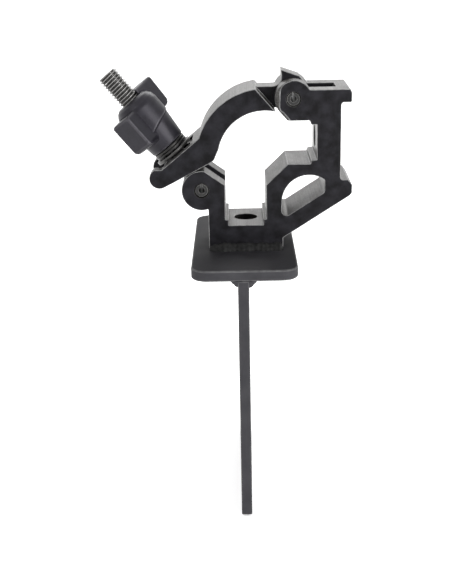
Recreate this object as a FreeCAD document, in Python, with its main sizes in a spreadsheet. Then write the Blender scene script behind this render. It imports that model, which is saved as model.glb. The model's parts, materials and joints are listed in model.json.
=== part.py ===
import FreeCAD, Part
import Sketcher
import math
import os
import re

# Swing-bolt pipe clamp with a welded tee bracket under it.
# Origin on the axis of the tube that the clamp grips, halfway across the clamp's width.
# +X towards the hinge post, +Y across the clamp's width, +Z up. Millimetres.

DRIVING = {
    # clamp body, an extruded profile cut to width
    "width": 38.0,
    "tube_radius": 25.5,
    "facet_left": 35.5,
    "facet_right": 43.8,
    "bolt_x": 0.6,
    "channel_half": 11.3,
    "head_half": 9.6,
    "floor_z": -46.4,
    "head_depth": 3.2,
    "foot_left": -20.1,
    "foot_right": 21.1,
    "foot_z": -60.4,
    "ledge_z": -12.6,
    "roof_z": 10.9,
    "pocket_x": 36.1,
    "captive_x": 39.5,
    "captive_z": -0.9,
    "captive_half": 9.55,
    "post_x": 52.5,
    "top_z": 27.3,
    "lip_x": 58.1,
    "lip_z": 20.3,
    "toe_x": 58.9,
    "toe_z": -21.7,
    "brace_x": 57.7,
    "brace_z": -30.7,
    "brace_slope": 32.5,
    "stud_hole": 6.5,
    # window between the post and the channel
    "window_x": 35.3,
    "window_z": -33.7,
    "window_radius": 14.8,
    "window_right": 43.8,
    "window_floor": -43.4,
    # hinge at the top of the post
    "hinge_x": 26.9,
    "hinge_z": 22.4,
    "knuckle": 10.0,
    "fork_gap": 15.4,
    "fork_end": 50.4,
    "fork_floor": 15.6,
    # ears that hold the swing bolt
    "bolt_pin_x": -23.5,
    "bolt_pin_z": -26.6,
    "ear": 11.0,
    "ear_gap": 12.6,
    "ear_floor": -38.2,
    # pins
    "pin_radius": 4.0,
    "pin_bore": 1.7,
    "pin_slit": 0.9,
    "pin_length": 36.0,
    "running_gap": 0.05,
    # swing arm
    "arm_x": 11.3,
    "arm_z": -8.9,
    "arm_outer": 37.4,
    "tenon": 15.0,
    "seat_slope": 39.5,
    "seat_height": 22.9,
    "tail_x": -46.4,
    "tail_z": -19.5,
    "tail_radius": 5.6,
    "tail_slope": 27.3,
    "tail_gap": 0.25,
    "slot_half": 6.4,
    "seat_groove": 23.2,
    "groove_half": 11.8,
    "groove_end": 12.3,
    # swing bolt, nut and washers, measured along the bolt from its pin
    "bolt_lean": 39.5,
    "thread_radius": 5.85,
    "eye": 8.0,
    "eye_width": 12.0,
    "bolt_end": 80.0,
    "saddle_start": 23.5,
    "washer_start": 25.6,
    "washer_height": 1.8,
    "washer_radius": 10.0,
    "saddle_radius": 11.3,
    "nut_foot": 10.4,
    "nut_barrel": 12.6,
    "nut_cone_end": 43.0,
    "nut_top": 60.6,
    "lug_reach": 19.0,
    "lug_width": 14.0,
    "low_lug_height": 20.4,
    "high_lug_height": 18.4,
    "lug_turn": 58.0,
    "low_lug": 36.0,
    "high_lug": 45.3,
    # tee bracket
    "plate_x": -0.8,
    "plate_width": 57.0,
    "plate_depth": 117.0,
    "plate_height": 6.0,
    "plate_corner": 9.0,
    "blade_x": -1.5,
    "blade_thick": 6.0,
    "blade_drop": 140.8,
    "weld_leg": 4.0,
}

FRONT = "XZ_Plane"
TOP = "XY_Plane"
SIDE = "YZ_Plane"

doc = FreeCAD.newDocument("pipe_clamp")
sheet = doc.addObject("Spreadsheet::Sheet", "Size")
for row, (alias, value) in enumerate(DRIVING.items(), start=1):
    sheet.set(f"A{row}", alias)
    sheet.set(f"B{row}", str(value))
    sheet.setAlias(f"B{row}", alias)
doc.recompute()


def sized(text):
    """An expression written with bare names, with each name pointed at its cell."""
    return re.sub(r"[a-z_]+", lambda m: f"Size.{m[0]}" if m[0] in DRIVING else m[0], text)


def value(text):
    return float(sheet.evalExpression(sized(text)))


def bind(feature, prop, text):
    feature.setExpression(prop, sized(text))


def new_body(label):
    body = doc.addObject("PartDesign::Body", label)
    body.Label = label
    return body


def place(body, x="0", y="0", z="0", turn="0"):
    """Put a body's own origin at x, y, z and turn it about Y."""
    for axis, text in zip("xyz", (x, y, z)):
        bind(body, f"Placement.Base.{axis}", text)
    body.Placement.Rotation = FreeCAD.Rotation(FreeCAD.Vector(0, 1, 0), value(turn))


def new_sketch(body, name, role, offset="0"):
    sketch = body.newObject("Sketcher::SketchObject", name)
    origin_plane = next(f for f in body.Origin.OriginFeatures if f.Role == role)
    sketch.AttachmentSupport = [(origin_plane, "")]
    sketch.MapMode = "FlatFace"
    if offset != "0":
        bind(sketch, "AttachmentOffset.Base.z", offset)
    return sketch


def pin_point(sketch, geo, end, x, y, name):
    """Hold one end of a sketch edge at x, y by two named dimensions."""
    for kind, axis, text in (("DistanceX", "x", x), ("DistanceY", "y", y)):
        index = sketch.addConstraint(Sketcher.Constraint(kind, -1, 1, geo, end, value(text)))
        sketch.renameConstraint(index, f"{name}_{axis}")
        bind(sketch, f"Constraints.{name}_{axis}", text)


def arc_between(start, end, radius):
    """The short arc from start to end: a positive radius bulges to the right of the way."""
    chord = end - start
    middle = (start + end) * 0.5
    height = math.sqrt(max(radius ** 2 - (chord.Length / 2) ** 2, 0.0))
    outward = FreeCAD.Vector(chord.y, -chord.x, 0).normalize()
    if radius < 0:
        outward = -outward
    crest = middle + outward * (abs(radius) - height)
    return Part.Arc(start, crest, end)


def outline(body, name, role, corners, offset="0"):
    """A closed sketch through the corners. A third entry makes the next edge an arc."""
    sketch = new_sketch(body, name, role, offset)
    points = [FreeCAD.Vector(value(c[0]), value(c[1]), 0) for c in corners]
    total = len(points)
    for i, corner in enumerate(corners):
        start, end = points[i], points[(i + 1) % total]
        if len(corner) == 2:
            sketch.addGeometry(Part.LineSegment(start, end), False)
        else:
            sketch.addGeometry(arc_between(start, end, value(corner[2])), False)
    firsts = []
    lasts = []
    for i, corner in enumerate(corners):
        swapped = sketch.getPoint(i, 1).distanceToPoint(points[i]) > 1e-6
        firsts.append(2 if swapped else 1)
        lasts.append(1 if swapped else 2)
    for i in range(total):
        after = (i + 1) % total
        sketch.addConstraint(Sketcher.Constraint("Coincident", i, lasts[i], after, firsts[after]))
    for i, corner in enumerate(corners):
        pin_point(sketch, i, firsts[i], corner[0], corner[1], f"p{i}")
        if len(corner) == 3:
            size = corner[2].lstrip("-")
            index = sketch.addConstraint(Sketcher.Constraint("Radius", i, value(size)))
            sketch.renameConstraint(index, f"r{i}")
            bind(sketch, f"Constraints.r{i}", size)
    return sketch


def circles(body, name, role, rings, offset="0"):
    """A sketch of full circles, each given as x, y and radius."""
    sketch = new_sketch(body, name, role, offset)
    up = FreeCAD.Vector(0, 0, 1)
    for i, (x, y, radius) in enumerate(rings):
        centre = FreeCAD.Vector(value(x), value(y), 0)
        sketch.addGeometry(Part.Circle(centre, up, value(radius)), False)
        index = sketch.addConstraint(Sketcher.Constraint("Radius", i, value(radius)))
        sketch.renameConstraint(index, f"c{i}")
        bind(sketch, f"Constraints.c{i}", radius)
        pin_point(sketch, i, 3, x, y, f"m{i}")
    return sketch


def pad(body, sketch, length, both=True, reverse=False):
    feature = body.newObject("PartDesign::Pad", f"{sketch.Name}_pad")
    feature.Profile = sketch
    feature.Midplane = both
    feature.Reversed = reverse
    bind(feature, "Length", length)
    sketch.Visibility = False
    return feature


def pocket(body, sketch, length, both=True, reverse=False):
    doc.recompute()
    before = body.Shape.Volume
    feature = body.newObject("PartDesign::Pocket", f"{sketch.Name}_cut")
    feature.Profile = sketch
    feature.Midplane = both
    feature.Reversed = reverse
    bind(feature, "Length", length)
    doc.recompute()
    if body.Shape.Volume > before - 0.5:
        raise RuntimeError(f"{feature.Name} removes nothing")
    return feature


def revolve(body, sketch):
    feature = body.newObject("PartDesign::Revolution", f"{sketch.Name}_turned")
    feature.Profile = sketch
    feature.ReferenceAxis = (sketch, ["V_Axis"])
    feature.Angle = 360.0
    return feature


def edges_where(shape, test):
    return [f"Edge{i}" for i, edge in enumerate(shape.Edges, start=1) if test(edge)]


def along(edge, direction):
    """True for a straight edge that runs along the direction."""
    if edge.Curve.TypeId != "Part::GeomLine":
        return False
    return abs(edge.Curve.Direction.dot(direction)) > 0.999


def dress(body, kind, names, prop, size):
    """Round ("Fillet") or bevel ("Chamfer") the named edges of the body's last feature."""
    base = body.Tip
    feature = body.newObject(f"PartDesign::{kind}", f"{body.Name}_{kind.lower()}_{len(body.Group)}")
    feature.Base = (base, names)
    bind(feature, prop, size)
    doc.recompute()
    return feature


def round_corners(body, places, size):
    """Round the edges that run across the width at the given x, z places."""
    doc.recompute()
    across = FreeCAD.Vector(0, 1, 0)
    spots = [FreeCAD.Vector(value(x), 0, value(z)) for x, z in places]

    def chosen(edge):
        if not along(edge, across):
            return False
        start = edge.Vertexes[0].Point
        flat = FreeCAD.Vector(start.x, 0, start.z)
        return any(flat.distanceToPoint(spot) < 0.05 for spot in spots)

    names = edges_where(body.Shape, chosen)
    return dress(body, "Fillet", names, "Radius", size)


def facet_z(side, x):
    """Height of the tube seat's flat at x: each flat touches the tube."""
    if side == "left":
        return f"-tube_radius / cos(facet_left) - ({x}) * tan(facet_left)"
    return f"-tube_radius / cos(facet_right) + ({x}) * tan(facet_right)"


def make_clamp_body():
    """Extruded profile: foot, bolt channel, tube seat, brace, post and hinge block."""
    body = new_body("clamp_body")
    left_wall = "bolt_x - channel_half"
    right_wall = "bolt_x + channel_half"
    facet_end = "(ledge_z + tube_radius / cos(facet_right)) / tan(facet_right)"
    brace_foot = "brace_z - (brace_x - foot_right) * tan(brace_slope)"
    profile = outline(body, "profile", FRONT, [
        ("foot_left", "foot_z"),
        ("foot_right", "foot_z"),
        ("foot_right", brace_foot),
        ("brace_x", "brace_z"),
        ("toe_x", "brace_z + 1.6"),
        ("toe_x", "toe_z - 3.0"),
        ("toe_x - 2.2", "toe_z"),
        ("post_x", "toe_z"),
        ("post_x", "lip_z"),
        ("lip_x", "lip_z"),
        ("lip_x", "top_z - 1.8"),
        ("lip_x - 0.9", "top_z"),
        ("hinge_x", "top_z"),
        ("hinge_x - knuckle * cos(40.9)", "hinge_z - knuckle * sin(40.9)"),
        ("hinge_x - 3.3", "roof_z"),
        ("pocket_x - 0.5", "roof_z"),
        ("pocket_x + 0.3", "captive_z + captive_half"),
        ("captive_x", "captive_z + captive_half"),
        ("captive_x", "captive_z - captive_half"),
        ("pocket_x + 0.4", "ledge_z + 1.7"),
        ("pocket_x", "ledge_z"),
        (facet_end, "ledge_z"),
        (right_wall, facet_z("right", right_wall)),
        (right_wall, "floor_z + head_depth"),
        ("bolt_x + head_half", "floor_z + head_depth"),
        ("bolt_x + head_half", "floor_z"),
        ("bolt_x - head_half", "floor_z"),
        ("bolt_x - head_half", "floor_z + head_depth"),
        (left_wall, "floor_z + head_depth"),
        (left_wall, facet_z("left", left_wall)),
        ("foot_left", facet_z("left", "foot_left")),
    ])
    pad(body, profile, "width")
    ears = circles(body, "ears", FRONT, [("bolt_pin_x", "bolt_pin_z", "ear")])
    pad(body, ears, "width")
    knuckle = circles(body, "knuckle_ears", FRONT, [("hinge_x", "hinge_z", "knuckle")])
    pad(body, knuckle, "width")
    over_seat = outline(body, "over_seat", FRONT, [
        (left_wall, facet_z("left", left_wall)),
        ("foot_left", facet_z("left", "foot_left")),
        ("bolt_pin_x - ear", facet_z("left", "bolt_pin_x - ear")),
        ("bolt_pin_x", "0.5"),
        (left_wall, "0.5"),
    ])
    pocket(body, over_seat, "width")
    round_corners(body, [
        ("foot_right", brace_foot),
        ("brace_x", "brace_z"),
        ("toe_x", "brace_z + 1.6"),
        ("toe_x", "toe_z - 3.0"),
        ("lip_x", "lip_z"),
        ("lip_x", "top_z - 1.8"),
        ("hinge_x - 3.3", "roof_z"),
        ("pocket_x - 0.5", "roof_z"),
    ], "0.9")
    round_corners(body, [("post_x", "lip_z"), ("post_x", "toe_z")], "1.4")
    make_window(body)
    cut_hinge_fork(body)
    cut_bolt_slot(body)
    stud_hole = circles(body, "stud_hole", TOP, [("bolt_x", "0.01", "stud_hole")], "foot_z")
    pocket(body, stud_hole, "floor_z - foot_z + 1", both=False, reverse=True)
    side_hole = circles(body, "side_hole", SIDE, [("0.01", "captive_z", "stud_hole")], "captive_x - 1")
    pocket(body, side_hole, "post_x - captive_x + 2", both=False, reverse=True)
    pin_holes = circles(body, "pin_holes", FRONT, [
        ("hinge_x", "hinge_z", "pin_radius"),
        ("bolt_pin_x", "bolt_pin_z", "pin_radius + running_gap"),
    ])
    pocket(body, pin_holes, "width + 2")
    return body


def make_window(body):
    """Opening under the post, round above and cut parallel to the brace below."""
    brace_rise = "tan(brace_slope)"
    window = outline(body, "window", FRONT, [
        ("window_x - window_radius", "window_z", "-window_radius"),
        ("window_right", "window_z + sqrt(pow(window_radius; 2) - pow(window_right - window_x; 2))"),
        ("window_right", f"window_floor + (window_right - window_x + window_radius) * {brace_rise}"),
        ("window_x - window_radius", "window_floor"),
    ])
    pocket(body, window, "width + 2")
    round_corners(body, [
        ("window_right", f"window_floor + (window_right - window_x + window_radius) * {brace_rise}"),
        ("window_x - window_radius", "window_floor"),
    ], "2.6")


def cut_hinge_fork(body):
    """Slot for the arm's tenon, open below the knuckle, with a floor behind it for the fin."""
    fork = outline(body, "fork", FRONT, [
        ("hinge_x - knuckle - 4", "top_z + 8"),
        ("fork_end", "top_z + 8"),
        ("fork_end", "fork_floor"),
        ("hinge_x + 9.6", "fork_floor"),
        ("hinge_x + 5.8", "roof_z - 1"),
        ("hinge_x - knuckle - 4", "roof_z - 1"),
    ])
    pocket(body, fork, "fork_gap")


def cut_bolt_slot(body):
    """Slot between the ears, open into the channel, where the swing bolt turns."""
    slot = outline(body, "bolt_slot", FRONT, [
        ("bolt_pin_x - ear - 1", "ear_floor"),
        ("bolt_x - channel_half + 1", "ear_floor"),
        ("bolt_x - channel_half + 1", "-12"),
        ("bolt_pin_x - ear - 1", "-12"),
    ])
    pocket(body, slot, "ear_gap")


def make_clamp_arm():
    """Curved arm with a tenon and fin at the hinge and an open fork at the other end."""
    body = new_body("clamp_arm")
    seat = seat_line()
    tail = tail_line()
    arm = outline(body, "arm", FRONT, [
        (outer_x("28.2"), "28.2", "arm_outer"),
        (seat["x"], seat["z"]),
        along_bolt("seat_height", "-9"),
        ("tail_x - tail_radius * sin(28.5)", "tail_z + tail_radius * cos(28.5)", "tail_radius"),
        ("tail_x - tail_radius * cos(20)", "tail_z - tail_radius * sin(20)", "tail_radius"),
        (tail["start_x"], tail["start_z"]),
        (tail["end_x"], tail["end_z"]),
        ("-16.4", "-9.9"),
        (inner_x("-3.9"), "-3.9", "-tube_radius"),
        ("17.3", inner_z("17.3")),
    ])
    pad(body, arm, "width")
    tenon = outline(body, "tenon", FRONT, [
        ("6", "28.0"),
        ("6", inner_z("6") + " + 0.6", "-(tube_radius + 0.6)"),
        ("hinge_x - 6.2", inner_z("hinge_x - 6.2") + " + 0.6"),
        ("hinge_x", "hinge_z"),
        ("hinge_x + 7.9", "hinge_z + 5.6"),
        ("hinge_x + 3.7", "hinge_z + 10.8"),
        ("hinge_x - 6.3", "hinge_z + 14.3", "-16"),
        ("hinge_x - 6.2", "hinge_z + 8.8", "-5"),
        ("hinge_x - 11.0", "28.0"),
    ])
    pad(body, tenon, "tenon")
    knuckle = circles(body, "arm_knuckle", FRONT, [("hinge_x", "hinge_z", "knuckle - 0.3")])
    pad(body, knuckle, "tenon")
    cut_fork_end(body)
    hole = circles(body, "arm_hole", FRONT, [("hinge_x", "hinge_z", "pin_radius + running_gap")])
    pocket(body, hole, "width")
    return body


def outer_x(z):
    """x on the arm's back at height z, on the hinge-away side."""
    return f"arm_x - sqrt(pow(arm_outer; 2) - pow({z} - arm_z; 2))"


def inner_x(z):
    return f"arm_x - sqrt(pow(tube_radius; 2) - pow({z} - arm_z; 2))"


def inner_z(x):
    return f"arm_z + sqrt(pow(tube_radius; 2) - pow({x} - arm_x; 2))"


def seat_line():
    """Where the washer seat's flat meets the arm's back."""
    nx = -math.sin(math.radians(value("seat_slope")))
    nz = math.cos(math.radians(value("seat_slope")))
    level = value("seat_height") + nx * value("bolt_pin_x") + nz * value("bolt_pin_z")
    offset = nx * value("arm_x") + nz * value("arm_z") - level
    reach = math.sqrt(value("arm_outer") ** 2 - offset ** 2)
    x = value("arm_x") - offset * nx - reach * nz
    z = value("arm_z") - offset * nz + reach * nx
    return {"x": str(x), "z": str(z)}


def tail_line():
    """The arm's lower edge, which rests over the bolt ears."""
    reach = "(ear + tail_gap)"
    start_x = "tail_x + tail_radius * sin(tail_slope)"
    start_z = "tail_z - tail_radius * cos(tail_slope)"
    end_x = f"bolt_pin_x - {reach} * sin(tail_slope) + 10.4 * cos(tail_slope)"
    end_z = f"bolt_pin_z + {reach} * cos(tail_slope) + 10.4 * sin(tail_slope)"
    return {"start_x": start_x, "start_z": start_z, "end_x": end_x, "end_z": end_z}


def cut_fork_end(body):
    """Open slot for the bolt, and a round groove about the bolt's pin where the washers swing."""
    slot = outline(body, "arm_slot", FRONT, [
        along_bolt("0", "9"),
        along_bolt("34", "9"),
        along_bolt("34", "-26"),
        along_bolt("0", "-26"),
    ])
    pocket(body, slot, "slot_half * 2")
    groove = outline(body, "washer_groove", FRONT, [
        along_bolt("sqrt(pow(seat_groove; 2) - pow(groove_end; 2))", "groove_end"),
        along_bolt("34", "groove_end"),
        along_bolt("34", "-26"),
        along_bolt("9", "-26"),
        along_bolt("9", "-sqrt(pow(seat_groove; 2) - 81)", "-seat_groove"),
    ])
    pocket(body, groove, "groove_half * 2")


def along_bolt(reach, aside, radius=None):
    """A corner given by its reach along the bolt at rest and its distance aside, hinge side up."""
    x = f"bolt_pin_x - ({reach}) * sin(bolt_lean) + ({aside}) * cos(bolt_lean)"
    z = f"bolt_pin_z + ({reach}) * cos(bolt_lean) + ({aside}) * sin(bolt_lean)"
    return (x, z) if radius is None else (x, z, radius)


def make_pin(label, x, z):
    """Slotted spring pin with bevelled ends."""
    body = new_body(label)
    tube = circles(body, f"{label}_ring", FRONT, [
        ("0.001", "0.001", "pin_radius"),
        ("0.001", "0.001", "pin_bore"),
    ])
    pad(body, tube, "pin_length")
    slit = outline(body, f"{label}_slit", FRONT, [
        ("-pin_slit / 2", "0.5"),
        ("pin_slit / 2", "0.5"),
        ("pin_slit / 2", "pin_radius + 1"),
        ("-pin_slit / 2", "pin_radius + 1"),
    ])
    pocket(body, slit, "pin_length + 2")
    radius = value("pin_radius")
    rims = edges_where(body.Shape, lambda e: is_arc(e, radius) and e.Length > radius)
    dress(body, "Chamfer", rims, "Size", "0.6")
    place(body, x, "0", z)
    return body


def is_arc(edge, radius):
    return edge.Curve.TypeId == "Part::GeomCircle" and abs(edge.Curve.Radius - radius) < 1e-3


def on_bolt(body):
    """Put a piece that was drawn with the bolt upright onto the leaning bolt."""
    place(body, "bolt_pin_x", "0", "bolt_pin_z", "-bolt_lean")


def make_eye_bolt():
    """Flat-sided eye and a threaded shank."""
    body = new_body("eye_bolt")
    eye = circles(body, "eye", FRONT, [("0.001", "0.001", "eye")])
    pad(body, eye, "eye_width")
    shank = circles(body, "shank", TOP, [("0.001", "0.001", "thread_radius")], "1")
    pad(body, shank, "bolt_end - 1", both=False)
    hole = circles(body, "eye_hole", FRONT, [("0.001", "0.001", "pin_radius + running_gap")])
    pocket(body, hole, "eye_width + 2")
    radius, end = value("thread_radius"), value("bolt_end")
    tip = edges_where(body.Shape, lambda e: is_arc(e, radius) and e.CenterOfMass.z > end - 0.1)
    dress(body, "Chamfer", tip, "Size", "1.0")
    on_bolt(body)
    return body


def make_washer(label, start, radius, height):
    body = new_body(label)
    ring = circles(body, f"{label}_ring", TOP, [
        ("0.001", "0.001", radius),
        ("0.001", "0.001", "thread_radius + 0.4"),
    ], start)
    pad(body, ring, height, both=False)
    on_bolt(body)
    return body


def make_wing_nut():
    """Turned cone and barrel with two lugs, one set lower on the barrel than the other."""
    body = new_body("wing_nut")
    foot = "washer_start + 2 * washer_height"
    bore = "thread_radius + running_gap"
    profile = outline(body, "nut_profile", FRONT, [
        (bore, foot),
        ("nut_foot", foot),
        ("nut_barrel", "nut_cone_end"),
        ("nut_barrel", "nut_top - 5.5"),
        ("nut_barrel - 4.4", "nut_top"),
        (bore, "nut_top"),
    ])
    revolve(body, profile)
    for label, side in (("low_lug", "-1"), ("high_lug", "1")):
        corners = [lug_corner(side, reach, half) for reach, half in (
            ("8", "-1"), ("lug_reach", "-1"), ("lug_reach", "1"), ("8", "1"))]
        lug = outline(body, label, TOP, corners, label)
        pad(body, lug, f"{label}_height", both=False)
    doc.recompute()
    reach = math.hypot(value("lug_reach"), value("lug_width") / 2)
    outer = edges_where(body.Shape, lambda e: along(e, FreeCAD.Vector(0, 0, 1))
                        and math.hypot(e.CenterOfMass.x, e.CenterOfMass.y) > reach - 0.1)
    dress(body, "Fillet", outer, "Radius", "2.0")
    on_bolt(body)
    return body


def lug_corner(side, reach, half):
    """A corner of a lug seen from above: side picks the lug, half the flank."""
    x = f"{side} * (({reach}) * cos(lug_turn) - ({half}) * lug_width / 2 * sin(lug_turn))"
    y = f"{side} * (({reach}) * sin(lug_turn) + ({half}) * lug_width / 2 * cos(lug_turn))"
    return (x, y)


def rectangle(x0, x1, y0, y1):
    return [(x0, y0), (x1, y0), (x1, y1), (x0, y1)]


def make_plate():
    """Flat plate with round corners, welded under the clamp's foot."""
    body = new_body("mount_plate")
    half = "plate_width / 2"
    sides = rectangle(f"plate_x - {half}", f"plate_x + {half}", "-plate_depth / 2", "plate_depth / 2")
    sketch = outline(body, "plate_outline", TOP, sides, "foot_z")
    pad(body, sketch, "plate_height", both=False, reverse=True)
    doc.recompute()
    corners = edges_where(body.Shape, lambda e: along(e, FreeCAD.Vector(0, 0, 1)))
    dress(body, "Fillet", corners, "Radius", "plate_corner")
    return body


def make_blade():
    """Upright blade that hangs edge-on under the plate."""
    body = new_body("hanging_blade")
    top = "foot_z - plate_height"
    half = "blade_thick / 2"
    sides = rectangle(f"blade_x - {half}", f"blade_x + {half}", f"{top} - blade_drop", top)
    sketch = outline(body, "blade_outline", FRONT, sides)
    pad(body, sketch, "plate_depth")
    doc.recompute()
    low = value(f"{top} - blade_drop") + 0.1
    ends = edges_where(body.Shape, lambda e: along(e, FreeCAD.Vector(1, 0, 0)) and e.CenterOfMass.z < low)
    dress(body, "Fillet", ends, "Radius", "5.0")
    return body


def make_foot_weld(label, side):
    """Fillet bead along the foot's front or rear face."""
    body = new_body(label)
    sketch = outline(body, f"{label}_section", SIDE, [
        (f"{side} * width / 2", "foot_z"),
        (f"{side} * (width / 2 + weld_leg)", "foot_z"),
        (f"{side} * width / 2", "foot_z + weld_leg"),
    ], "(foot_left + foot_right) / 2")
    pad(body, sketch, "foot_right - foot_left")
    return body


def make_blade_weld(label, side):
    """Fillet bead between the plate's underside and the blade."""
    body = new_body(label)
    top = "foot_z - plate_height"
    face = f"blade_x + {side} * blade_thick / 2"
    sketch = outline(body, f"{label}_section", FRONT, [
        (face, top),
        (f"{face} + {side} * weld_leg", top),
        (face, f"{top} - weld_leg"),
    ])
    pad(body, sketch, "plate_depth")
    return body


def make_all():
    return [
        make_clamp_body(),
        make_clamp_arm(),
        make_pin("hinge_pin", "hinge_x", "hinge_z"),
        make_pin("bolt_pin", "bolt_pin_x", "bolt_pin_z"),
        make_eye_bolt(),
        make_washer("saddle_washer", "saddle_start", "saddle_radius", "washer_start - saddle_start"),
        make_washer("lower_washer", "washer_start", "washer_radius", "washer_height"),
        make_washer("upper_washer", "washer_start + washer_height", "washer_radius", "washer_height"),
        make_wing_nut(),
        make_plate(),
        make_blade(),
        make_foot_weld("front_weld", "-1"),
        make_foot_weld("rear_weld", "1"),
        make_blade_weld("left_weld", "-1"),
        make_blade_weld("right_weld", "1"),
    ]


def check(bodies):
    """Stop before writing anything if an object failed or a shape isn't sound."""
    doc.recompute()
    for item in doc.Objects:
        if "Invalid" in item.State or "Error" in item.State:
            raise RuntimeError(f"{item.Name} is {item.State}")
    for body in bodies:
        shape = body.Shape
        if shape.isNull() or not shape.isValid() or len(shape.Solids) != 1:
            raise RuntimeError(f"{body.Label} isn't one sound solid")
        print(body.Label, round(shape.Volume), "mm3", shape.BoundBox)


def write(bodies):
    os.makedirs("parts", exist_ok=True)
    for body in bodies:
        body.Shape.exportStep(f"parts/{body.Label}.step")


parts = make_all()
check(parts)
write(parts)
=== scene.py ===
import json
import math
import random

import bmesh
import bpy
from mathutils import Matrix, Vector, noise


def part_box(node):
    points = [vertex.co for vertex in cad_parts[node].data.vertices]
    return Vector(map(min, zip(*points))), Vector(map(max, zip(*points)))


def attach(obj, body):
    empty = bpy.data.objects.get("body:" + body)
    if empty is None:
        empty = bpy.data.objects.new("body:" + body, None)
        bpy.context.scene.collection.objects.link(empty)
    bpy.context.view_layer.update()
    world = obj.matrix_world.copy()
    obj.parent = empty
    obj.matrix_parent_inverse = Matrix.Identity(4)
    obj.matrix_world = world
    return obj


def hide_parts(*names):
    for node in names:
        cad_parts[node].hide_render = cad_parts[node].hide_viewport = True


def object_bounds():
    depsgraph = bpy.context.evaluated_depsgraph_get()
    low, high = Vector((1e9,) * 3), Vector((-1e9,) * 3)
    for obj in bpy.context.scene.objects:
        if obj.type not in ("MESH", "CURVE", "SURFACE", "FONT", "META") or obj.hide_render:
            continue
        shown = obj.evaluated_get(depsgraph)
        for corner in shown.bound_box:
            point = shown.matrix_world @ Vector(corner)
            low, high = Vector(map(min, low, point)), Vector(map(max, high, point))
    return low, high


# Swing-bolt pipe clamp on a tee bracket. Lengths are written in millimetres and scaled once, by MM.
# The CAD nodes give every place: each piece below is a finer copy of one, or is built on its axes.

MM = 0.001
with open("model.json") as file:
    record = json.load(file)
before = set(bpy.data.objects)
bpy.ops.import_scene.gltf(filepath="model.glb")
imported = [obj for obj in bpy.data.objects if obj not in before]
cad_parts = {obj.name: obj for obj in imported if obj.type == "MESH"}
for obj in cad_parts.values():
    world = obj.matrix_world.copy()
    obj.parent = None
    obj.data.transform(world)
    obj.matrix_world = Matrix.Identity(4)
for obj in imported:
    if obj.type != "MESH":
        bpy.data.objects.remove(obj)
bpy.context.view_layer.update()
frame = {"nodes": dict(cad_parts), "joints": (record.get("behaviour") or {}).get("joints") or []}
joints = {joint["name"]: joint for joint in frame["joints"]}

BOLT_PIVOT = Vector(joints["bolt_lean"]["pos_m"])
BOLT_AXIS = Vector(joints["nut_travel"]["axis"]).normalized()
HINGE = Vector(joints["arm_hinge"]["pos_m"])

# the swing bolt and what it carries; heights are measured along the bolt from its pivot
PITCH = 1.75
THREAD_RADIUS = 5.85
THREAD_DEPTH = 1.0
THREAD_START = 12.6
THREAD_END = 80.0
EYE_RADIUS = 8.0
EYE_BORE = 4.05
EYE_HALF = 6.0
NECK_RADIUS = 5.3
NECK_END = 13.4
WASHER_ROUND = 0.3
WASHER_BORE = THREAD_RADIUS + 0.4
# each washer's name, outer radius, underside and top
WASHERS = (("saddle_washer", 11.3, 23.5, 25.3), ("lower_washer", 10.0, 25.75, 27.35),
           ("upper_washer", 10.0, 27.45, 29.0))

# the nut: a cone below, a head above with an oblique lower rim, and two lugs
NUT_FOOT = 29.3
NUT_TOP = 60.6
NUT_BORE = 6.0
CONE_FOOT_RADIUS = 10.4
CONE_TOP_RADIUS = 11.9
CONE_TOP = 45.0
HEAD_RADIUS = 12.6
RIM_HEIGHT = 40.4
RIM_TILT = -19.5
LUG_TURN = 58.0
LUG_HALF = 7.0

# the hinge ears: the round's radius, where the straight edge ends, and the outer face's distance
# from the clamp's middle
KNUCKLE = 10.0
DIAGONAL_END = (-3.3, -11.5)
EAR_OUTER = 19.0


# ---------------------------------------------------------------- meshes

def new_object(name, bm):
    """An object in the scene made from a bmesh, which is freed."""
    mesh = bpy.data.meshes.new(name)
    bmesh.ops.recalc_face_normals(bm, faces=bm.faces)
    bm.to_mesh(mesh)
    bm.free()
    obj = bpy.data.objects.new(name, mesh)
    bpy.context.collection.objects.link(obj)
    return obj


def cad_copy(node, name):
    """A copy of a CAD node's mesh with its flat faces merged into whole polygons."""
    bm = bmesh.new()
    bm.from_mesh(frame["nodes"][node].data)
    bmesh.ops.remove_doubles(bm, verts=bm.verts, dist=0.002 * MM)
    bmesh.ops.dissolve_limit(bm, angle_limit=math.radians(0.5), verts=bm.verts, edges=bm.edges)
    return new_object(name, bm)


def bake_modifiers(obj):
    """Replace the object's mesh by what its modifiers make of it."""
    depsgraph = bpy.context.evaluated_depsgraph_get()
    mesh = bpy.data.meshes.new_from_object(obj.evaluated_get(depsgraph))
    obj.modifiers.clear()
    obj.data = mesh


def shade(obj, angle=35.0):
    obj.data.shade_smooth()
    obj.data.set_sharp_from_angle(angle=math.radians(angle))


def soften(obj, width, segments=2):
    """Round every sharp edge a little, and mark the narrow new faces with an attribute, "edge".

    The new faces are told apart by a material slot of their own, which add_piece clears."""
    sharp_angle = 32.0
    face_slots = 2
    for _ in range(face_slots):
        obj.data.materials.append(None)
    bevel = obj.modifiers.new("edge", "BEVEL")
    bevel.width = width * MM
    bevel.segments = segments
    bevel.limit_method = "ANGLE"
    bevel.angle_limit = math.radians(sharp_angle)
    bevel.use_clamp_overlap = False
    bevel.miter_outer = "MITER_ARC"
    bevel.material = 1
    bake_modifiers(obj)
    marks = [float(face.material_index) for face in obj.data.polygons]
    edge = obj.data.attributes.new("edge", "FLOAT", "FACE")
    edge.data.foreach_set("value", marks)
    obj.data.polygons.foreach_set("material_index", [0] * len(marks))
    shade(obj, 11)


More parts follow.
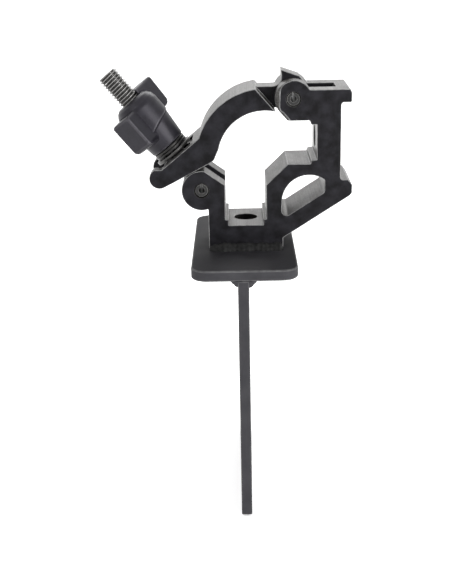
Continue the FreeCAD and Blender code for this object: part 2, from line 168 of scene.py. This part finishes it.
def boolean(obj, other, operation="DIFFERENCE"):
    """Cut or join another object into this one, and remove the other."""
    step = obj.modifiers.new("cut", "BOOLEAN")
    step.operation = operation
    step.solver = "EXACT"
    step.object = other
    bake_modifiers(obj)
    bpy.data.objects.remove(other)


def mark_corners(obj, blunt=150.0, sharp=420.0, rounds=3):
    """Mark the bends of a finely divided mesh as "edge", from 1 outward to -1 inward.

    Blunt and sharp are the curvatures per metre where a mark starts and is full."""
    bm = bmesh.new()
    bm.from_mesh(obj.data)
    bm.normal_update()
    near = [[edge.other_vert(vert).index for edge in vert.link_edges] for vert in bm.verts]
    bend = []
    for vert in bm.verts:
        total = 0.0
        for edge in vert.link_edges:
            other = edge.other_vert(vert)
            step = vert.co - other.co
            total += (vert.normal - other.normal).dot(step) / max(step.length_squared, 1e-12)
        bend.append(total / max(len(vert.link_edges), 1))
    bm.free()
    for _ in range(rounds):
        bend = [(value + sum(bend[k] for k in ring)) / (1 + len(ring)) for value, ring in zip(bend, near)]
    marks = [math.copysign(min(max((abs(value) - blunt) / (sharp - blunt), 0.0), 1.0), value)
             for value in bend]
    obj.data.attributes.new("edge", "FLOAT", "POINT").data.foreach_set("value", marks)


def on_bolt(obj):
    """Stand a piece that was built upright about the origin on the leaning bolt."""
    across = Vector((0, 1, 0))
    side = across.cross(BOLT_AXIS)
    turn = Matrix((side, across, BOLT_AXIS)).transposed().to_4x4()
    obj.data.transform(Matrix.Translation(BOLT_PIVOT) @ turn)


def turned(name, profile, segments):
    """A closed (radius, height) outline in millimetres, turned about the Z axis."""
    bm = bmesh.new()
    rings = []
    for i in range(segments):
        a = 2 * math.pi * i / segments
        rings.append([bm.verts.new((r * MM * math.cos(a), r * MM * math.sin(a), z * MM))
                      for r, z in profile])
    for i, ring in enumerate(rings):
        after = rings[(i + 1) % segments]
        for j in range(len(profile)):
            k = (j + 1) % len(profile)
            bm.faces.new((ring[j], after[j], after[k], ring[k]))
    return new_object(name, bm)


def prism(name, corners, low, high):
    """An upright prism through (x, y) corners in millimetres."""
    bm = bmesh.new()
    bottom = [bm.verts.new((x * MM, y * MM, low * MM)) for x, y in corners]
    top = [bm.verts.new((x * MM, y * MM, high * MM)) for x, y in corners]
    bm.faces.new(bottom)
    bm.faces.new(top)
    for i in range(len(corners)):
        j = (i + 1) % len(corners)
        bm.faces.new((bottom[i], bottom[j], top[j], top[i]))
    return new_object(name, bm)


def loft(name, sections):
    """A closed skin over equal-length loops of points."""
    bm = bmesh.new()
    loops = [[bm.verts.new(p) for p in section] for section in sections]
    for loop, after in zip(loops, loops[1:]):
        for j in range(len(loop)):
            k = (j + 1) % len(loop)
            bm.faces.new((loop[j], loop[k], after[k], after[j]))
    bm.faces.new(loops[0])
    bm.faces.new(loops[-1])
    return new_object(name, bm)


def solid_turned(name, profile, segments):
    """A solid of revolution about the Z axis, through (radius, height) points from its foot up."""
    around = [2 * math.pi * i / segments for i in range(segments)]
    return loft(name, [[Vector((r * math.cos(a), r * math.sin(a), z)) * MM for a in around]
                       for r, z in profile])


# ---------------------------------------------------------------- materials

class Nodes:
    """A short way to write a node material."""

    def __init__(self, name):
        self.material = bpy.data.materials.new(name)
        self.material.use_nodes = True
        self.tree = self.material.node_tree
        self.shader = self.tree.nodes["Principled BSDF"]
        coordinates = self.tree.nodes.new("ShaderNodeTexCoord")
        self.place = coordinates.outputs["Object"]

    def add(self, kind, inputs=None, **settings):
        node = self.tree.nodes.new(f"ShaderNode{kind}")
        for key, value in settings.items():
            setattr(node, key, value)
        for key, value in (inputs or {}).items():
            if isinstance(value, bpy.types.NodeSocket):
                self.tree.links.new(value, node.inputs[key])
            else:
                node.inputs[key].default_value = value
        return node

    def noise(self, scale, stretch=(1, 1, 1), detail=3.0):
        mapping = self.add("Mapping", {"Vector": self.place, "Scale": stretch})
        field = self.add("TexNoise", {
            "Vector": mapping.outputs[0], "Scale": scale, "Detail": detail, "Roughness": 0.55})
        return field.outputs["Fac"]

    def spread(self, source, low, high, from_low=0.3, from_high=0.7):
        """The source's middle band stretched to run from low to high."""
        node = self.add("MapRange", {
            "Value": source, "From Min": from_low, "From Max": from_high, "To Min": low, "To Max": high})
        return node.outputs["Result"]

    def blend(self, factor, first, second):
        node = self.add("Mix", {"Factor": factor}, data_type="RGBA")
        for socket, value in ((node.inputs[6], first), (node.inputs[7], second)):
            if isinstance(value, bpy.types.NodeSocket):
                self.tree.links.new(value, socket)
            else:
                socket.default_value = value
        return node.outputs[2]

    def math(self, operation, first, second):
        node = self.add("Math", {0: first, 1: second}, operation=operation)
        return node.outputs[0]

    def corners(self, low, high):
        """One on convex corners of a finely divided mesh, nothing on flats."""
        geometry = self.add("NewGeometry")
        return self.spread(geometry.outputs["Pointiness"], 0.0, 1.0, low, high)

    def edges(self):
        """One on the edges that soften or mark_corners marked, broken up by a little noise."""
        mark = self.add("Attribute", attribute_name="edge")
        rub_and_highlight = self.spread(self.noise(260, detail=4.0), 0.35, 1.0, 0.35, 0.65)
        return self.math("MULTIPLY", mark.outputs["Fac"], rub_and_highlight)

    def creases(self, low, high):
        """Runs from low to high on the inward bends that mark_corners found."""
        mark = self.add("Attribute", attribute_name="edge")
        return self.spread(mark.outputs["Fac"], high, low, -0.6, 0.0)

    def facing(self, axis, low, high):
        """How squarely the surface faces along the object's x, y or z axis, either way."""
        coordinates = self.add("TexCoord")
        split = self.add("SeparateXYZ", {0: coordinates.outputs["Normal"]})
        size = self.add("Math", {0: split.outputs[axis]}, operation="ABSOLUTE")
        return self.spread(size.outputs[0], 0.0, 1.0, low, high)

    def bump(self, height, strength, distance, below=None):
        inputs = {"Height": height, "Strength": strength, "Distance": distance}
        if below is not None:
            inputs["Normal"] = below
        return self.add("Bump", inputs).outputs["Normal"]

    def set(self, **sockets):
        names = {
            "color": "Base Color", "rough": "Roughness", "metal": "Metallic", "normal": "Normal",
            "specular": "Specular IOR Level", "tint": "Specular Tint"}
        for key, value in sockets.items():
            socket = self.shader.inputs[names[key]]
            if isinstance(value, bpy.types.NodeSocket):
                self.tree.links.new(value, socket)
            else:
                socket.default_value = value
        return self.material


def grey(level, warmth=0.0):
    return (level * (1 + warmth), level, level * (1 - warmth), 1.0)


def anodised(name, soiled):
    """Black anodised extrusion: glossy skin with die lines, and dull saw-cut front and rear. The skin's
    lighter grey is partly painted sheen.
    """
    n = Nodes(name)
    cut_face = n.facing("Y", 0.80, 0.95)
    mottle = n.spread(n.noise(170, detail=5.0), 0.0, 1.0, 0.35, 0.68)
    fine = n.spread(n.noise(1400, detail=4.0), 0.0, 1.0, 0.3, 0.7)
    die_lines = n.spread(n.noise(1100, stretch=(1, 0.01, 1), detail=3.0), 0.0, 1.0, 0.36, 0.64)
    saw_marks = n.noise(2600, stretch=(0.04, 1, 1), detail=2.0)
    stain = n.spread(n.noise(110, stretch=(1, 0.35, 1), detail=5.0), 0.0, 1.0, 0.38, 0.62)
    # the skin is lighter than the cut faces: die-line tone, and painted sheen
    streaks_and_sheen = n.blend(die_lines, grey(0.055, 0.03), grey(0.110, 0.03))
    skin = n.blend(n.math("MULTIPLY", stain, soiled), streaks_and_sheen, grey(0.018, 0.12))
    face = n.blend(mottle, (0.0016, 0.0014, 0.0021, 1.0), (0.0112, 0.0108, 0.0136, 1.0))
    base = n.blend(cut_face, skin, face)
    edge_wear_and_highlight = n.blend(n.math("MULTIPLY", n.edges(), 0.8), base, grey(0.26))
    rough_skin = n.spread(fine, 0.28, 0.42, 0.0, 1.0)
    rough_face = n.spread(mottle, 0.44, 0.54, 0.0, 1.0)
    rough = n.add("Mix", {"Factor": cut_face, 2: rough_skin, 3: rough_face}).outputs[0]
    marks = n.add("Mix", {"Factor": cut_face, 2: die_lines, 3: saw_marks}).outputs[0]
    relief = n.bump(marks, 0.10, 0.05 * MM)
    metal = n.spread(cut_face, 0.50, 0.04, 0.0, 1.0)
    return n.set(color=edge_wear_and_highlight, rough=rough, metal=metal, specular=0.12,
                 normal=n.bump(fine, 0.12, 0.04 * MM, relief))


def powder_coat():
    """Fine-textured black powder coat, darker on the broad level faces than on the edges: painted shade.
    """
    n = Nodes("black_powder_coat")
    mottle = n.spread(n.noise(90, detail=6.0), 0.0, 1.0, 0.3, 0.7)
    grain = n.noise(2600, detail=2.0)
    # painted shade: the level faces get a darker colour than the upright ones
    level = n.facing("Z", 0.5, 0.95)
    upright = n.blend(mottle, (0.025, 0.0245, 0.0275, 1.0), (0.037, 0.0365, 0.040, 1.0))
    flat = n.blend(mottle, (0.011, 0.0105, 0.012, 1.0), (0.022, 0.0215, 0.024, 1.0))
    base = n.blend(level, upright, flat)
    edge_wear_and_highlight = n.blend(n.math("MULTIPLY", n.edges(), 0.5), base, grey(0.14))
    rough = n.spread(mottle, 0.58, 0.70, 0.0, 1.0)
    return n.set(color=edge_wear_and_highlight, rough=rough, specular=0.10, normal=n.bump(grain, 0.30, 0.06 * MM))


def weld():
    """Coated weld metal, blotchy and half glossy."""
    n = Nodes("coated_weld")
    mottle = n.spread(n.noise(500, detail=5.0), 0.0, 1.0, 0.3, 0.7)
    base = n.blend(mottle, grey(0.003), grey(0.014))
    return n.set(color=base, rough=0.6, specular=0.12,
                 normal=n.bump(n.noise(900, detail=4.0), 0.35, 0.2 * MM))


def cast_nut():
    """Smooth black coat on a casting, slightly orange-peeled, its ridges lightened by wear and a painted
    highlight.
    """
    n = Nodes("black_cast_nut")
    mottle = n.spread(n.noise(220, detail=5.0), 0.0, 1.0, 0.3, 0.7)
    peel = n.noise(1100, detail=2.0)
    base = n.blend(mottle, (0.0048, 0.0045, 0.0062, 1.0), (0.0105, 0.0100, 0.0135, 1.0))
    # the convex bends are lightened: wear, and a painted highlight along the lug ridges
    edge_wear_and_highlight = n.blend(n.math("MULTIPLY", n.edges(), 0.8), base, (0.060, 0.058, 0.064, 1.0))
    smooth = n.spread(mottle, 0.32, 0.41, 0.0, 1.0)
    rough = n.math("ADD", smooth, n.creases(0.0, 0.5))
    return n.set(color=edge_wear_and_highlight, rough=rough, specular=0.27, tint=(0.94, 0.91, 1.0, 1.0),
                 normal=n.bump(peel, 0.14, 0.10 * MM))


def blackened_steel(name, dark, light, bright, band=None, metal=0.85):
    """Oil-blackened steel, bright on corners in the band, or on softened edges: wear, and on the saddle
    washer a painted highlight.
    """
    n = Nodes(name)
    mottle = n.spread(n.noise(700, detail=5.0), 0.0, 1.0, 0.3, 0.7)
    base = n.blend(mottle, grey(dark, 0.02), grey(light, 0.03))
    # bright corners in the band, else softened edges: wear, and on the saddle washer a painted highlight
    rub_and_highlight = n.math("MULTIPLY", n.corners(*band) if band else n.edges(), 0.85)
    color = n.blend(rub_and_highlight, base, grey(bright, 0.02))
    rough = n.spread(mottle, 0.30, 0.42, 0.0, 1.0)
    return n.set(color=color, metal=metal, rough=rough, normal=n.bump(n.noise(2400), 0.10, 0.05 * MM))


BODY_METAL = anodised("body_extrusion", 0.95)
ARM_METAL = anodised("arm_extrusion", 0.55)
POWDER = powder_coat()
WELD = weld()
CAST = cast_nut()
THREAD = blackened_steel("bright_thread", 0.03, 0.08, 0.55, (0.50, 0.62))
# the saddle washer's rim carries a painted highlight; the dark washers are the same steel without it
SADDLE_HIGHLIGHT = blackened_steel("washer_painted_highlight", 0.010, 0.035, 0.45, (0.53, 0.62))
WASHER = blackened_steel("dark_washer", 0.008, 0.030, 0.10, (0.53, 0.62))
# the pins' near-black base, darker than the other steel, is partly painted shade for the hollow inside
# them
PIN = blackened_steel("pin_steel", 0.003, 0.010, 0.24, metal=0.30)
STEEL = blackened_steel("blackened_steel", 0.006, 0.022, 0.12)


def add_piece(obj, body, material, slot, *nodes):
    """Paint a finished piece, fix it to its body, and let it stand for its CAD nodes."""
    obj.data.materials.clear()
    obj.data.materials.append(material)
    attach(obj, body)
    if nodes:
        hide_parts(*nodes)
    return obj


# ---------------------------------------------------------------- clamp body and arm

def ear_edge():
    """The free edge of a hinge ear: (x, z, outward x, outward z, bevel width) along it."""
    start_turn, end_turn = 96.0, 220.9
    narrow, extra = 0.15, 2.55
    widest_turn, spread_turn = 178.0, 38.0
    straight_width = 1.3
    round_steps, straight_steps = 22, 5
    overrun = 1.25
    points = []
    for i in range(round_steps + 1):
        turn = start_turn + (end_turn - start_turn) * i / round_steps
        a = math.radians(turn)
        middle = math.exp(-((turn - widest_turn) / spread_turn) ** 2)
        points.append((KNUCKLE * math.cos(a), KNUCKLE * math.sin(a), math.cos(a), math.sin(a),
                       narrow + extra * middle))
    x0, z0 = points[-1][0], points[-1][1]
    diagonal = Vector((DIAGONAL_END[0] - x0, DIAGONAL_END[1] - z0))
    along = diagonal.normalized()
    out = Vector((along.y, -along.x))
    if out.x > 0:
        out = -out
    for i in range(1, straight_steps + 1):
        s = diagonal.length * overrun * i / straight_steps
        points.append((x0 + along.x * s, z0 + along.y * s, out.x, out.y, straight_width))
    return points


def bevel_ears(obj):
    """Cut the wide bevel round the free edge of both hinge ears.

    The cutter is a triangle swept along the edge: (outward, inward) corners in bevel widths."""
    depth = 0.8
    triangle = ((-1.4, -0.4), (0.4, 1.4), (1.6, -0.6))
    for side in (-1, 1):
        face = side * EAR_OUTER
        sections = []
        for x, z, ox, oz, width in ear_edge():
            deep = depth * width
            shape = []
            for out, inward in triangle:
                shape.append(Vector((
                    HINGE.x + (x + ox * width * out) * MM,
                    (face - side * deep * inward) * MM,
                    HINGE.z + (z + oz * width * out) * MM)))
            sections.append(shape)
        boolean(obj, loft(f"ear_cut_{side}", sections))


def unworn_holes(obj):
    """Leave the rims of the pin holes as dark as their surroundings."""
    rim = 5.5
    edge = obj.data.attributes["edge"].data
    for face in obj.data.polygons:
        for axis in (HINGE, BOLT_PIVOT):
            away = face.center - axis
            if math.hypot(away.x, away.z) < rim * MM:
                edge[face.index].value = 0.0


def make_extrusions():
    edge = 0.35
    body = cad_copy("clamp_body", "clamp_body_extrusion")
    bevel_ears(body)
    soften(body, edge)
    unworn_holes(body)
    add_piece(body, "frame", BODY_METAL, "anodised_aluminium", "clamp_body")
    arm = cad_copy("clamp_arm", "clamp_arm_extrusion")
    soften(arm, edge)
    add_piece(arm, "arm", ARM_METAL, "anodised_aluminium", "clamp_arm")


# ---------------------------------------------------------------- bolt, washers, nut and pins

def thread_radius(height, turn):
    """Radius of the threaded rod: rounded crests and roots, right-handed, bevelled at the end."""
    root_width, flank_width = 0.16, 0.62
    end_radius = THREAD_RADIUS - 0.7 * THREAD_DEPTH
    phase = (height / PITCH - turn / (2 * math.pi)) % 1.0
    tooth = abs(2 * phase - 1)
    flank = min(max((tooth - root_width) / flank_width, 0.0), 1.0)
    radius = THREAD_RADIUS - THREAD_DEPTH * (1 - flank)
    return min(radius, end_radius + (THREAD_END - height))


def make_rod():
    """The threaded shank, with the helix as real geometry."""
    around = 56
    per_pitch = 12
    length = THREAD_END - THREAD_START
    steps = int(round(length / PITCH * per_pitch))
    sections = []
    for i in range(steps + 1):
        height = THREAD_START + length * i / steps
        loop = []
        for j in range(around):
            turn = 2 * math.pi * j / around
            radius = thread_radius(height, turn)
            loop.append(Vector((radius * math.cos(turn), radius * math.sin(turn), height)) * MM)
        sections.append(loop)
    rod = loft("bolt_thread", sections)
    shade(rod, 50)
    on_bolt(rod)
    return rod


def make_eye():
    """The bolt's eye, a flat-sided ring with a short neck up to the thread."""
    inner_round, outer_round = 0.3, 0.5
    half = EYE_HALF
    profile = [(EYE_BORE, -half + inner_round), (EYE_BORE + inner_round, -half),
               (EYE_RADIUS - outer_round, -half), (EYE_RADIUS, -half + outer_round),
               (EYE_RADIUS, half - outer_round), (EYE_RADIUS - outer_round, half),
               (EYE_BORE + inner_round, half), (EYE_BORE, half - inner_round)]
    eye = turned("bolt_eye", profile, 64)
    eye.data.transform(Matrix.Rotation(math.radians(90), 4, "X"))
    neck = solid_turned("neck", [(NECK_RADIUS, EYE_HALF), (NECK_RADIUS, NECK_END)], 48)
    boolean(eye, neck, "UNION")
    shade(eye)
    on_bolt(eye)
    return eye


def make_ring(name, outer, low, high):
    """A flat washer with rounded outer corners."""
    edge = WASHER_ROUND
    corner_out = outer - edge * 0.3
    profile = [(WASHER_BORE, low), (outer - 2 * edge, low), (outer - edge, low),
               (corner_out, low + edge * 0.3), (outer, low + edge),
               (outer, high - edge), (corner_out, high - edge * 0.3),
               (outer - edge, high), (outer - 2 * edge, high), (WASHER_BORE, high)]
    ring = turned(name, profile, 96)
    shade(ring, 50)
    on_bolt(ring)
    return ring


def lug(name, side, low, high, reach_low, reach_high):
    """One lug of the nut: a block that leans out towards its top, rounder below.

    Low and high are its ends along the bolt; the reaches are its outer face's distances from it."""
    root = 2.0
    corner_cut = 0.8
    a = math.radians(LUG_TURN + (180 if side < 0 else 0))
    out = Vector((math.cos(a), math.sin(a)))
    across = Vector((-math.sin(a), math.cos(a)))
    sections = []
    for height, reach, half in (
            (low, reach_low - 2.6, LUG_HALF - 1.2),
            (low + 0.7, reach_low - 1.1, LUG_HALF - 0.5),
            (low + 2.4, reach_low, LUG_HALF),
            (high - 1.0, reach_high, LUG_HALF),
            (high, reach_high - 0.9, LUG_HALF - 0.7)):
        loop = []
        for u, v in ((root, -half), (reach - corner_cut, -half), (reach, -half + corner_cut),
                     (reach, half - corner_cut), (reach - corner_cut, half), (root, half)):
            spot = out * u + across * v
            loop.append(Vector((spot.x, spot.y, height)) * MM)
        sections.append(loop)
    return loft(name, sections)


def make_head():
    """The nut's round head, with a rounded top and cut off obliquely below."""
    hidden_foot = 30.0
    far = 40
    head = solid_turned("head", [
        (HEAD_RADIUS, hidden_foot), (HEAD_RADIUS, NUT_TOP - 6.0), (HEAD_RADIUS - 0.6, NUT_TOP - 3.6),
        (HEAD_RADIUS - 2.2, NUT_TOP - 1.3), (HEAD_RADIUS - 4.2, NUT_TOP)], 96)
    under = prism("under", [(-far, -far), (far, -far), (far, far), (-far, far)], -far, 0)
    tilt = Matrix.Rotation(math.radians(RIM_TILT), 4, "Y")
    under.data.transform(Matrix.Translation(Vector((0, 0, RIM_HEIGHT * MM))) @ tilt)
    boolean(head, under)
    return head


def make_nut():
    """Cone, head and two lugs at different heights, melted together as one casting and bored."""
    nut = solid_turned("wing_nut_casting", [
        (CONE_FOOT_RADIUS - 0.5, NUT_FOOT), (CONE_FOOT_RADIUS, NUT_FOOT + 0.6),
        (CONE_TOP_RADIUS, CONE_TOP)], 96)
    boolean(nut, make_head(), "UNION")
    boolean(nut, lug("low", -1, 36.0, 56.6, 18.8, 19.0), "UNION")
    boolean(nut, lug("high", 1, 45.3, 63.9, 17.8, 18.8), "UNION")
    remesh = nut.modifiers.new("cast", "REMESH")
    remesh.mode = "VOXEL"
    remesh.voxel_size = 0.32 * MM
    remesh.use_smooth_shade = True
    smooth = nut.modifiers.new("soft", "SMOOTH")
    smooth.factor = 0.5
    smooth.iterations = 8
    bake_modifiers(nut)
    mark_corners(nut)
    boolean(nut, solid_turned("bore", [(NUT_BORE, 20.0), (NUT_BORE, 70.0)], 64))
    shade(nut, 45)
    on_bolt(nut)
    return nut


def make_pin(node, name):
    pin = cad_copy(node, name)
    soften(pin, 0.12)
    return pin


def make_hardware():
    steel = "blackened_steel"
    add_piece(make_rod(), "swing_bolt", THREAD, steel, "eye_bolt")
    add_piece(make_eye(), "swing_bolt", STEEL, steel)
    for name, outer, low, high in WASHERS:
        ring = make_ring(f"{name}_ring", outer, low, high)
        # only the saddle washer gets the painted highlight
        material = SADDLE_HIGHLIGHT if name == "saddle_washer" else WASHER
        add_piece(ring, "washers", material, steel, name)
    add_piece(make_nut(), "nut", CAST, "black_cast_nut", "wing_nut")
    add_piece(make_pin("hinge_pin", "hinge_spring_pin"), "frame", PIN, steel, "hinge_pin")
    add_piece(make_pin("bolt_pin", "bolt_spring_pin"), "turning_pin", PIN, steel, "bolt_pin")


# ---------------------------------------------------------------- bracket and welds

def make_bead(name, start, end, out, up, leg, seed, ripple):
    """A weld bead from start to end, filling the corner between directions out and up."""
    steps_per_mm = 2.4
    arc_steps = 9
    ripple_length = 2.6
    sunk = 0.3
    rng = random.Random(seed)
    offset = Vector((rng.uniform(0, 50), rng.uniform(0, 50), rng.uniform(0, 50)))
    length = (end - start).length / MM
    steps = max(24, int(length * steps_per_mm))
    sections = []
    for i in range(steps + 1):
        s = i / steps
        base = start.lerp(end, s)
        near_end = min(s, 1 - s) * length
        taper = math.sqrt(min(1.0, (near_end + 0.15) / (0.6 * leg)))
        wave = 1 + ripple * math.sin(2 * math.pi * s * length / ripple_length)
        wander = 1 + 0.26 * noise.noise(base * 190 + offset)
        size = leg * taper * wave * wander
        loop = [base - (out + up) * sunk * MM]
        for j in range(arc_steps + 1):
            a = math.pi / 2 * j / arc_steps
            lump = 1 + 0.12 * noise.noise((base + out * math.cos(a) * 2 * MM) * 420 + offset)
            crown = 0.84 + 0.16 * abs(math.cos(2 * a)) ** 1.5
            reach = size * crown * lump * MM
            loop.append(base + out * math.cos(a) * reach + up * math.sin(a) * reach)
        sections.append(loop)
    bead = loft(name, sections)
    shade(bead, 60)
    return bead


def make_bracket():
    coat = "black_powder_coat"
    plate = cad_copy("mount_plate", "mount_plate_coated")
    soften(plate, 0.9, 3)
    add_piece(plate, "frame", POWDER, coat, "mount_plate")
    blade = cad_copy("hanging_blade", "hanging_blade_coated")
    soften(blade, 0.5)
    add_piece(blade, "frame", POWDER, coat, "hanging_blade")


def corner(node, x, y, z):
    """A point of a node's box, with 0 for its low and 1 for its high side on each axis."""
    low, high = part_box(node)
    return Vector(tuple(low[i] + (high[i] - low[i]) * k for i, k in enumerate((x, y, z))))


def make_welds():
    """Two beads along the clamp's foot and two finer ones under the plate, beside the blade."""
    up = Vector((0, 0, 1))
    front, rear = Vector((0, -1, 0)), Vector((0, 1, 0))
    left, right = Vector((-1, 0, 0)), Vector((1, 0, 0))
    foot_leg, foot_ripple = 3.8, 0.035
    blade_leg, blade_ripple = 4.0, 0.02
    for side, first, last, out, rise, leg, seed, ripple, material in (
            ("front", (0, 1, 0), (1, 1, 0), front, up, foot_leg, 5, foot_ripple, WELD),
            ("rear", (0, 0, 0), (1, 0, 0), rear, up, foot_leg, 8, foot_ripple, WELD),
            ("left", (1, 0, 1), (1, 1, 1), left, -up, blade_leg, 12, blade_ripple, POWDER),
            ("right", (0, 0, 1), (0, 1, 1), right, -up, blade_leg, 21, blade_ripple, POWDER)):
        node = f"{side}_weld"
        start, end = corner(node, *first), corner(node, *last)
        bead = make_bead(f"{node}_bead", start, end, out, rise, leg, seed, ripple)
        add_piece(bead, "frame", material, "weld_bead", node)


# ---------------------------------------------------------------- stage, light and camera

FLOOR_SIZE = 12.0
FLOOR_GAP = 0.0002
FLOOR_GLOW = 0.24
SKY_FRONT = 1.0
SKY_REAR = 1.2
LIGHT_TARGET = (0.0, 0.0, -0.05)
CAMERA_PLACE = (-0.0036, -0.5949, 0.1111)
CAMERA_YAW = -0.77
CAMERA_DOWN = 18.83
CAMERA_ROLL = -1.23
CAMERA_LENS = 66.35


def make_floor():
    """A pale floor just under the blade, glowing a little so that its shadow stays light."""
    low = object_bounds()[0].z
    bm = bmesh.new()
    bmesh.ops.create_grid(bm, x_segments=1, y_segments=1, size=FLOOR_SIZE)
    floor = new_object("floor", bm)
    floor.location.z = low - FLOOR_GAP
    n = Nodes("pale_floor")
    cloud = n.spread(n.noise(3.0), 0.0, 1.0)
    n.set(color=n.blend(cloud, grey(0.96), grey(0.97)), rough=0.9, specular=0.1)
    n.shader.inputs["Emission Color"].default_value = grey(1.0)
    n.shader.inputs["Emission Strength"].default_value = FLOOR_GLOW
    floor.data.materials.append(n.material)


def make_sky():
    """A white sky, a little dimmer in front of the clamp than behind it."""
    world = bpy.data.worlds.new("studio")
    world.use_nodes = True
    tree = world.node_tree
    background = tree.nodes["Background"]
    background.inputs["Color"].default_value = (1.0, 1.0, 1.0, 1.0)
    direction = tree.nodes.new("ShaderNodeTexCoord")
    split = tree.nodes.new("ShaderNodeSeparateXYZ")
    strength = tree.nodes.new("ShaderNodeMapRange")
    for socket, value in (("From Min", -0.6), ("From Max", 0.0),
                          ("To Min", SKY_FRONT), ("To Max", SKY_REAR)):
        strength.inputs[socket].default_value = value
    tree.links.new(direction.outputs["Generated"], split.inputs[0])
    tree.links.new(split.outputs["Y"], strength.inputs["Value"])
    tree.links.new(strength.outputs["Result"], background.inputs["Strength"])
    bpy.context.scene.world = world


def add_softbox(name, place, size, power):
    """A rectangular lamp aimed at the clamp, with its size in metres and power in watts."""
    data = bpy.data.lights.new(name, "AREA")
    data.shape = "RECTANGLE"
    data.size, data.size_y = size
    data.energy = power
    light = bpy.data.objects.new(name, data)
    light.location = place
    aim = Vector(LIGHT_TARGET) - Vector(place)
    light.rotation_mode = "QUATERNION"
    light.rotation_quaternion = aim.to_track_quat("-Z", "Y")
    bpy.context.collection.objects.link(light)


def make_lamps():
    add_softbox("key", (1.00, -0.95, 0.30), (1.1, 0.9), 20)
    add_softbox("back", (0.0, 1.3, 0.9), (1.6, 0.8), 12)
    add_softbox("fill", (-0.9, -0.9, 0.9), (0.8, 0.8), 3)


def make_camera():
    """The camera stands in front, a little above, and looks down at the clamp."""
    yaw, down, roll = (math.radians(turn) for turn in (CAMERA_YAW, CAMERA_DOWN, CAMERA_ROLL))
    forward = Vector((math.sin(yaw) * math.cos(down), math.cos(yaw) * math.cos(down), -math.sin(down)))
    level = Vector((math.cos(yaw), -math.sin(yaw), 0.0))
    below = forward.cross(level)
    right = level * math.cos(roll) - below * math.sin(roll)
    lower = level * math.sin(roll) + below * math.cos(roll)
    data = bpy.data.cameras.new("camera")
    data.lens = CAMERA_LENS
    data.sensor_width = 36.0
    data.clip_end = 20.0
    camera = bpy.data.objects.new("camera", data)
    turn = Matrix((right, -lower, -forward)).transposed().to_4x4()
    camera.matrix_world = Matrix.Translation(CAMERA_PLACE) @ turn
    bpy.context.collection.objects.link(camera)
    bpy.context.scene.camera = camera


make_extrusions()
make_hardware()
make_bracket()
make_welds()
make_floor()
make_sky()
make_lamps()
make_camera()
bpy.context.scene.view_settings.view_transform = "Standard"
